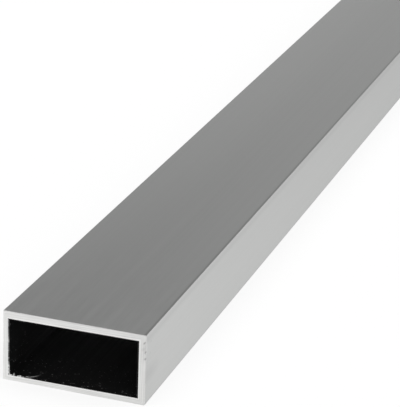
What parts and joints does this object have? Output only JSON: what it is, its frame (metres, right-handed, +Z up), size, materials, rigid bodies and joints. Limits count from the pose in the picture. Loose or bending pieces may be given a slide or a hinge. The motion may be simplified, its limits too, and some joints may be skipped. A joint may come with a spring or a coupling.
{
  "type": "rectangular aluminium tube",
  "caption": "Straight length of extruded rectangular aluminium tube with a thin even wall, an open bore and square sawn ends, for framing, edging and supports.",
  "frame": {"origin": "middle of the underside: half way along the length and across the width, on the surface the tube lies on", "axes": "+Z up through the wide faces, +Y along the length away from the end that the picture shows, +X across the width"},
  "size_m": [0.04, 1, 0.02],
  "materials": {
    "aluminium": "bare mill finish with fine lengthwise die lines, bright sawn ends"
  },
  "bodies": {
    "root": {"tube": "aluminium"}
  },
  "joints": []
}
